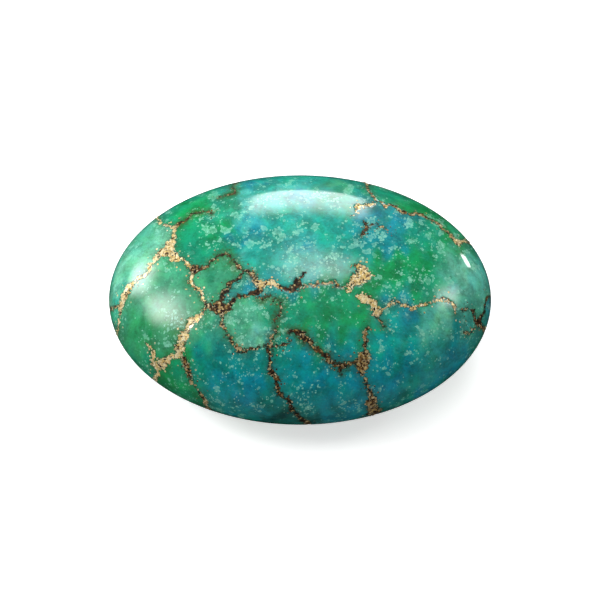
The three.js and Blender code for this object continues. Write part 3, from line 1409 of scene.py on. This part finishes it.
@dataclass
class Skin:
    """The stone's polished skin, with its markings.

    Attributes:
        form: The shape it follows.
        steps_along: Points along X on the cube that the skin is drawn from.
        steps_across: Points along Y.
        steps_up: Points along Z.
        sunk: How far the matrix lies below the turquoise.
    """

    form: StoneForm
    steps_along: int = 190
    steps_across: int = 132
    steps_up: int = 76
    sunk: float = 0.05

    def shape_tree(self, material: bpy.types.Material) -> GrowthTree:
        """Draws the oval from a cube: evened out, rounded, stretched and cut flat underneath.

        Args:
            material: The finish.

        Returns:
            The tree.
        """
        grown = GrowthTree("cabochon form", {
            "Half Length": "length", "Half Width": "length", "Dome": "length",
            "Girdle Height": "length", "Softening": "length", "Fullness": "number",
            "Steps Along": "count", "Steps Across": "count", "Steps Up": "count"})
        wiring, given = grown.wiring, grown.given
        cube = wiring.node("GeometryNodeMeshCube")
        cube.inputs["Size"].default_value = (2.0, 2.0, 2.0)
        for axis, label in (("X", "Along"), ("Y", "Across"), ("Z", "Up")):
            wiring.feed(cube.inputs["Vertices " + axis], given["Steps " + label])
        place = wiring.node("GeometryNodeInputPosition").outputs[0]
        kept = grown.stored(cube.outputs["Mesh"], "cube_place", "FLOAT_VECTOR", place)
        even = wiring.vector("TANGENT", wiring.vector("SCALE", place, math.pi / 4.0))
        along, across, rise = wiring.parts(wiring.vector("NORMALIZE", even))
        out = wiring.math("ADD", wiring.math("MULTIPLY", along, along),
                          wiring.math("MULTIPLY", across, across))
        half_power = wiring.math("DIVIDE", given["Fullness"], 2.0)
        left = wiring.math("SUBTRACT", 1.0, wiring.math("POWER", out, half_power), clamp=True)
        height = wiring.math("MULTIPLY", wiring.math("SQRT", left), wiring.math("SIGN", rise))
        uncut = wiring.math("MULTIPLY_ADD", height, given["Dome"], given["Girdle Height"])
        cut = wiring.math("SMOOTH_MAX", uncut, 0.0, given["Softening"])
        moved = wiring.node("GeometryNodeSetPosition")
        wiring.feed(moved.inputs["Geometry"], kept)
        wiring.feed(moved.inputs["Position"], wiring.whole(
            wiring.math("MULTIPLY", along, given["Half Length"]),
            wiring.math("MULTIPLY", across, given["Half Width"]), cut))
        grown.close(moved.outputs[0], material, smooth=True)
        return grown

    def relief_tree(self, material: bpy.types.Material) -> GrowthTree:
        """Sinks the matrix a little below the turquoise, with a grainy floor.

        Args:
            material: The finish.

        Returns:
            The tree.
        """
        grown = GrowthTree("matrix relief", {"Depth": "length", "Grain Size": "length"})
        wiring, given = grown.wiring, grown.given
        inside = wiring.step(grown.named("web", "FLOAT"), 0.10, -0.12)
        place = wiring.node("GeometryNodeInputPosition").outputs[0]
        scale = wiring.math("DIVIDE", 1.0, given["Grain Size"])
        grit = wiring.noise(wiring.vector("SCALE", place, scale), 1.0, 2.0).outputs[0]
        above = wiring.step(wiring.parts(place)[2], 0.2 * METRES, 0.6 * METRES)
        share = wiring.math("MULTIPLY", wiring.math("MULTIPLY", inside, above),
                            wiring.math("MULTIPLY_ADD", grit, 1.2, 0.2))
        down = wiring.math("MULTIPLY", wiring.math("MULTIPLY", share, given["Depth"]), -1.0)
        normal = wiring.node("GeometryNodeInputNormal").outputs[0]
        moved = wiring.node("GeometryNodeSetPosition")
        wiring.feed(moved.inputs["Geometry"], given["Geometry"])
        wiring.feed(moved.inputs["Offset"], wiring.vector("SCALE", normal, down))
        grown.close(moved.outputs[0], material, smooth=True)
        return grown

    def unwrapped(self, mesh: bpy.types.Mesh) -> None:
        """Lays the cube's six sides out on one square map, evenly and without overlaps.

        Args:
            mesh: The skin, which still carries each point's place on the cube.
        """
        cube = read_values(mesh, "cube_place", 3)
        corners = np.empty(len(mesh.loops), np.int32)
        mesh.loops.foreach_get("vertex_index", corners)
        spot = cube[corners]
        middle = spot.reshape(-1, 4, 3).mean(axis=1)
        side = np.abs(middle).argmax(axis=1)
        high = middle[np.arange(len(middle)), side] > 0.0
        side, high = np.repeat(side, 4), np.repeat(high, 4)
        cells = np.array([self.steps_along, self.steps_across, self.steps_up]) - 1
        run = (spot + 1.0) / 2.0 * cells
        long, wide, tall = cells
        gutter = 2
        second_row, third_row = wide + gutter, 2 * (wide + gutter)
        column = long + gutter
        layout = (  # side, high or low, across the map, up the map, and where it starts
            (2, True, run[:, 0], run[:, 1], 0, 0),
            (2, False, long - run[:, 0], run[:, 1], 0, second_row),
            (1, False, run[:, 0], run[:, 2], 0, third_row),
            (1, True, run[:, 2], run[:, 0], column, 0),
            (0, True, run[:, 2], long + gutter + run[:, 1], column, 0),
            (0, False, tall + gutter + run[:, 2], long + gutter + run[:, 1], column, 0),
        )
        place = np.zeros((len(spot), 2))
        for axis, is_high, over, upward, start_over, start_up in layout:
            here = (side == axis) & (high == is_high)
            place[here, 0] = over[here] + start_over
            place[here, 1] = upward[here] + start_up
        extent = max(third_row + tall, column + 2 * tall + gutter, column + wide)
        place = (place + 1.0) / (extent + 2.0)
        layer = mesh.uv_layers.new(name="OFBake")
        layer.data.foreach_set("uv", place.astype(np.float32).ravel())
        mesh.attributes.remove(mesh.attributes["cube_place"])

    def build(self, finish: PolishedTurquoise) -> bpy.types.Object:
        """Makes the skin, marks it and puts it in the solid's place.

        Args:
            finish: The stone's finish.

        Returns:
            The piece.
        """
        material = finish.material()
        mesh = self.shape_tree(material).grow(bpy.data.meshes.new("seed"), {
            "Half Length": self.form.half_length * METRES,
            "Half Width": self.form.half_width * METRES,
            "Dome": self.form.dome * METRES,
            "Girdle Height": GIRDLE_HEIGHT * METRES,
            "Softening": EDGE_SOFTENING * METRES,
            "Fullness": FULLNESS,
            "Steps Along": self.steps_along,
            "Steps Across": self.steps_across,
            "Steps Up": self.steps_up})
        self.unwrapped(mesh)
        edges = np.empty(len(mesh.edges) * 2, np.int32)
        mesh.edges.foreach_get("vertices", edges)
        marks = Markings(self.form, read_values(mesh, "position", 3) / METRES, edges.reshape(-1, 2))
        web = marks.web()
        for name, values in web.items():
            write_values(mesh, name, values)
        write_values(mesh, "tint", marks.tint(web["web"]))
        write_values(mesh, "bloom", marks.bloom())
        mesh = self.relief_tree(material).grow(mesh, {
            "Depth": self.sunk * METRES, "Grain Size": 0.25 * METRES})
        piece = as_piece("turquoise_skin", mesh)
        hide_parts(STONE_NODE)
        return piece


@dataclass
class Grains:
    """The small grains of metal that stand in the matrix.

    Attributes:
        per_square: Grains to a square millimetre of pure gold matrix.
        smallest: The smallest grain's radius.
        largest: The largest grain's radius.
    """

    per_square: float = 20.0
    smallest: float = 0.06
    largest: float = 0.15

    def tree(self, material: bpy.types.Material) -> GrowthTree:
        """Scatters faceted grains where the matrix is metallic.

        Args:
            material: The finish.

        Returns:
            The tree.
        """
        grown = GrowthTree("metal grains", {
            "Grains Each Square Metre": "number", "Smallest": "length", "Largest": "length",
            "Seed": "count"})
        wiring, given = grown.wiring, grown.given
        metal, brown, _ = wiring.parts(grown.named("look", "FLOAT_VECTOR"))
        inside = wiring.step(grown.named("web", "FLOAT"), 0.02, -0.10)
        height = wiring.parts(wiring.node("GeometryNodeInputPosition").outputs[0])[2]
        above = wiring.step(height, 0.4 * METRES, 1.0 * METRES)
        share = wiring.math("MULTIPLY", wiring.math("MULTIPLY", inside, above),
                            wiring.math("POWER", metal, 1.6))
        scatter = wiring.node("GeometryNodeDistributePointsOnFaces", distribute_method="RANDOM")
        wiring.feed(scatter.inputs["Mesh"], given["Geometry"])
        wiring.feed(scatter.inputs["Density"],
                    wiring.math("MULTIPLY", share, given["Grains Each Square Metre"]))
        wiring.feed(scatter.inputs["Seed"], given["Seed"])
        points = grown.stored(scatter.outputs["Points"], "grain_brown", "FLOAT", brown)
        size = self.chance(grown, "FLOAT", 1)
        wiring.feed(size.inputs[2], given["Smallest"])
        wiring.feed(size.inputs[3], given["Largest"])
        stretch = self.chance(grown, "FLOAT_VECTOR", 2)
        stretch.inputs[0].default_value = (0.6, 0.6, 0.5)
        stretch.inputs[1].default_value = (1.3, 1.0, 0.9)
        turn = self.chance(grown, "FLOAT_VECTOR", 3)
        turn.inputs[1].default_value = (math.tau, math.tau, math.tau)
        ball = wiring.node("GeometryNodeMeshIcoSphere")
        ball.inputs["Radius"].default_value = 1.0
        ball.inputs["Subdivisions"].default_value = 1
        set_down = wiring.node("GeometryNodeInstanceOnPoints")
        wiring.feed(set_down.inputs["Points"], points)
        wiring.feed(set_down.inputs["Instance"], ball.outputs["Mesh"])
        wiring.feed(set_down.inputs["Rotation"], turn.outputs[0])
        wiring.feed(set_down.inputs["Scale"],
                    wiring.vector("SCALE", stretch.outputs[0], size.outputs[1]))
        grown.close(set_down.outputs[0], material, smooth=False)
        return grown

    @staticmethod
    def chance(grown: GrowthTree, kind: str, seed: int) -> bpy.types.Node:
        """Adds a random value with its own seed.

        Args:
            grown: The tree.
            kind: FLOAT or FLOAT_VECTOR.
            seed: The seed.

        Returns:
            The node.
        """
        node = grown.wiring.node("FunctionNodeRandomValue", data_type=kind)
        node.inputs["Seed"].default_value = seed
        return node

    def build(self, skin: bpy.types.Object, finish: GrainMetal) -> bpy.types.Object:
        """Makes the grains on the skin.

        Args:
            skin: The stone's skin.
            finish: The grains' finish.

        Returns:
            The piece.
        """
        mesh = self.tree(finish.material()).grow(skin.data.copy(), {
            "Grains Each Square Metre": self.per_square / METRES ** 2,
            "Smallest": self.smallest * METRES,
            "Largest": self.largest * METRES,
            "Seed": 5})
        return as_piece("matrix_grains", mesh)


@dataclass(frozen=True)
class Lamp:
    """One soft light of the studio: a glowing card, aimed at the stone and fading at its edges.

    Attributes:
        name: Its name.
        azimuth: Where it stands, in degrees from +Y towards +X.
        elevation: Its height in degrees above level.
        width: Its width, at the studio's light distance.
        height: Its height.
        radiance: How bright its middle is; 1 is a white card in full light.
        softness: The share of its half size over which it fades.
        mirrored: Whether the polish mirrors it.
        head_fade: The share of its height over which it also dims towards its head.
    """

    name: str
    azimuth: float
    elevation: float
    width: float
    height: float
    radiance: float
    softness: float = 0.3
    mirrored: bool = True
    head_fade: float = 0.0

    DISTANCE = 300.0

    def glow(self) -> bpy.types.Material:
        """Makes the card's glow, brightest in the middle.

        Returns:
            The material.
        """
        material = bpy.data.materials.new(self.name)
        material.use_nodes = True
        material.node_tree.nodes.clear()
        wiring = Wiring(material.node_tree)
        place = wiring.node("ShaderNodeTexCoord").outputs["Object"]
        across, up, _ = wiring.parts(place)
        span = 2.0 / METRES
        power = 4.0  # 2 would round the card to an oval; more squares its corners
        out = []
        for way, size in ((across, self.width), (up, self.height)):
            share = wiring.math("ABSOLUTE", wiring.math("MULTIPLY", way, span / size))
            out.append(wiring.math("POWER", share, power))
        edge = wiring.math("POWER", wiring.math("ADD", *out), 1.0 / power)
        fade = wiring.step(edge, 1.0, 1.0 - self.softness)
        if self.head_fade:
            rise = wiring.math("MULTIPLY", up, span / self.height)
            dim = wiring.step(rise, 1.0, 1.0 - 2.0 * self.head_fade)
            fade = wiring.math("MULTIPLY", fade, dim)
        emission = wiring.node("ShaderNodeEmission")
        wiring.feed(emission.inputs["Strength"], wiring.math("MULTIPLY", fade, self.radiance))
        wiring.feed(wiring.node("ShaderNodeOutputMaterial").inputs["Surface"], emission.outputs[0])
        return material

    def stand(self, target: Vector) -> bpy.types.Object:
        """Puts the card up.

        Args:
            target: What it is aimed at, in metres.

        Returns:
            The card.
        """
        around, rise = math.radians(self.azimuth), math.radians(self.elevation)
        way = Vector((math.sin(around) * math.cos(rise), math.cos(around) * math.cos(rise),
                      math.sin(rise)))
        over, up = self.width * METRES / 2.0, self.height * METRES / 2.0
        mesh = bpy.data.meshes.new(self.name)
        mesh.from_pydata([(-over, -up, 0.0), (over, -up, 0.0), (over, up, 0.0), (-over, up, 0.0)],
                         [], [(0, 1, 2, 3)])
        mesh.materials.append(self.glow())
        card = bpy.data.objects.new(self.name, mesh)
        bpy.context.scene.collection.objects.link(card)
        card.location = target + way * self.DISTANCE * METRES
        card.rotation_euler = way.to_track_quat("Z", "Y").to_euler()
        card.visible_camera = False
        card.visible_glossy = self.mirrored
        card.visible_shadow = False
        return card


@dataclass
class Studio:
    """The floor, the lights and the camera around the stone.

    Attributes:
        form: The stone that they are set around.
        camera_distance: How far the camera stands from the stone.
        lens: The camera's focal length.
        floor_size: The width of the floor.
    """

    form: StoneForm
    camera_distance: float = 333.3
    lens: float = 200.0
    floor_size: float = 6000.0

    AIM_BELOW = 0.15  # the camera's aim, below the girdle's middle; it centres the outline
    FAR_GLOW = 0.42  # makes up for the lamps' light where the floor is far from them
    FLOOR_LIFT = 0.58  # how much paler the floor is seen than it is lit, as on a light table
    FAR_LIFT = 0.18  # the same far off, where the floor fades into the pale room
    LAMPS = (  # name, azimuth, elevation, width, height, radiance and softness
        Lamp("overhead", 0.0, 76.0, 420.0, 420.0, 2.35, 0.5, mirrored=False),
        Lamp("back box", 2.0, 25.0, 136.0, 186.0, 7.4, 0.26, head_fade=0.50),
        Lamp("left strip", -62.0, 22.0, 170.0, 200.0, 14.0, 1.0),
        Lamp("left box", -86.0, 42.0, 190.0, 220.0, 11.0, 1.0),
        Lamp("right spot", 49.5, 4.0, 50.0, 44.0, 22.0, 0.6),
        Lamp("right box", 75.0, 35.0, 120.0, 140.0, 7.5, 1.0),
        Lamp("key", 8.0, 62.0, 100.0, 70.0, 5.0, 1.0),
    )

    @property
    def target(self) -> Vector:
        """The middle of the stone's girdle, in metres."""
        return Vector(self.form.middle) * METRES

    def lay_floor(self) -> bpy.types.Object:
        """Lays the pale floor.

        Returns:
            The floor.
        """
        half = self.floor_size * METRES / 2.0
        mesh = bpy.data.meshes.new("floor")
        mesh.from_pydata([(-half, -half, 0.0), (half, -half, 0.0), (half, half, 0.0),
                          (-half, half, 0.0)], [], [(0, 1, 2, 3)])
        material, wiring, shader = new_material("pale floor")
        grain = wiring.noise(object_place(wiring), 0.8, 3.0).outputs[0]
        paper = wiring.blend(grain, (0.88, 0.88, 0.88, 1.0), (0.90, 0.90, 0.90, 1.0))
        wiring.feed(shader.inputs["Base Color"], paper)
        shader.inputs["Roughness"].default_value = 0.9
        away = wiring.vector("LENGTH", object_place(wiring))
        glow = wiring.math("MULTIPLY", wiring.step(away, 120.0, 480.0), self.FAR_GLOW)
        seen = wiring.node("ShaderNodeLightPath").outputs["Is Camera Ray"]
        fall = self.FAR_LIFT - self.FLOOR_LIFT
        lift = wiring.math("MULTIPLY_ADD", wiring.step(away, 60.0, 420.0), fall, self.FLOOR_LIFT)
        glow = wiring.math("MULTIPLY_ADD", seen, lift, glow)
        wiring.feed(shader.inputs["Emission Color"], wiring.whole(glow, glow, glow))
        shader.inputs["Emission Strength"].default_value = 1.0
        mesh.materials.append(material)
        floor = bpy.data.objects.new("floor", mesh)
        bpy.context.scene.collection.objects.link(floor)
        floor.visible_glossy = False
        return floor

    def light(self) -> None:
        """Sets the lamps and the pale room around them."""
        for lamp in self.LAMPS:
            lamp.stand(self.target)
        world = bpy.data.worlds.new("pale room")
        bpy.context.scene.world = world
        world.use_nodes = True
        wiring = Wiring(world.node_tree)
        world.node_tree.nodes.clear()
        rays = wiring.node("ShaderNodeLightPath").outputs
        level = wiring.math("MULTIPLY", rays["Is Diffuse Ray"], 0.30)
        shown = wiring.math("MULTIPLY_ADD", rays["Is Camera Ray"], 0.85, level)
        background = wiring.node("ShaderNodeBackground")
        wiring.feed(background.inputs["Strength"], shown)
        wiring.feed(wiring.node("ShaderNodeOutputWorld").inputs["Surface"], background.outputs[0])

    def place_camera(self) -> bpy.types.Object:
        """Places the camera at the front viewpoint.

        Returns:
            The camera.
        """
        lens = bpy.data.cameras.new("camera")
        lens.lens = self.lens
        lens.sensor_width = 36.0
        lens.clip_start = 0.01
        lens.clip_end = 20.0
        camera = bpy.data.objects.new("camera", lens)
        bpy.context.scene.collection.objects.link(camera)
        way = Vector(toward_eye())
        drop = Vector(sight_up()) * self.AIM_BELOW
        camera.location = self.target + (way * self.camera_distance - drop) * METRES
        camera.rotation_euler = (-way).to_track_quat("-Z", "Y").to_euler()
        bpy.context.scene.camera = camera
        return camera

    def build(self) -> None:
        """Sets up the whole studio."""
        self.place_camera()
        self.lay_floor()
        self.light()
        bpy.context.scene.view_settings.view_transform = "Standard"
        LOG.info("studio: %d lamps", len(self.LAMPS))


def main() -> None:
    """Builds the stone and its studio from the solid's sizes, and logs how many faces each piece
    has.
    """
    logging.basicConfig(level=logging.INFO, format="%(name)s: %(message)s")
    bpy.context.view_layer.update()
    form = StoneForm.around(STONE_NODE)
    Studio(form).build()
    skin = Skin(form).build(PolishedTurquoise())
    Grains().build(skin, GrainMetal())


if __name__ == "__main__":
    main()
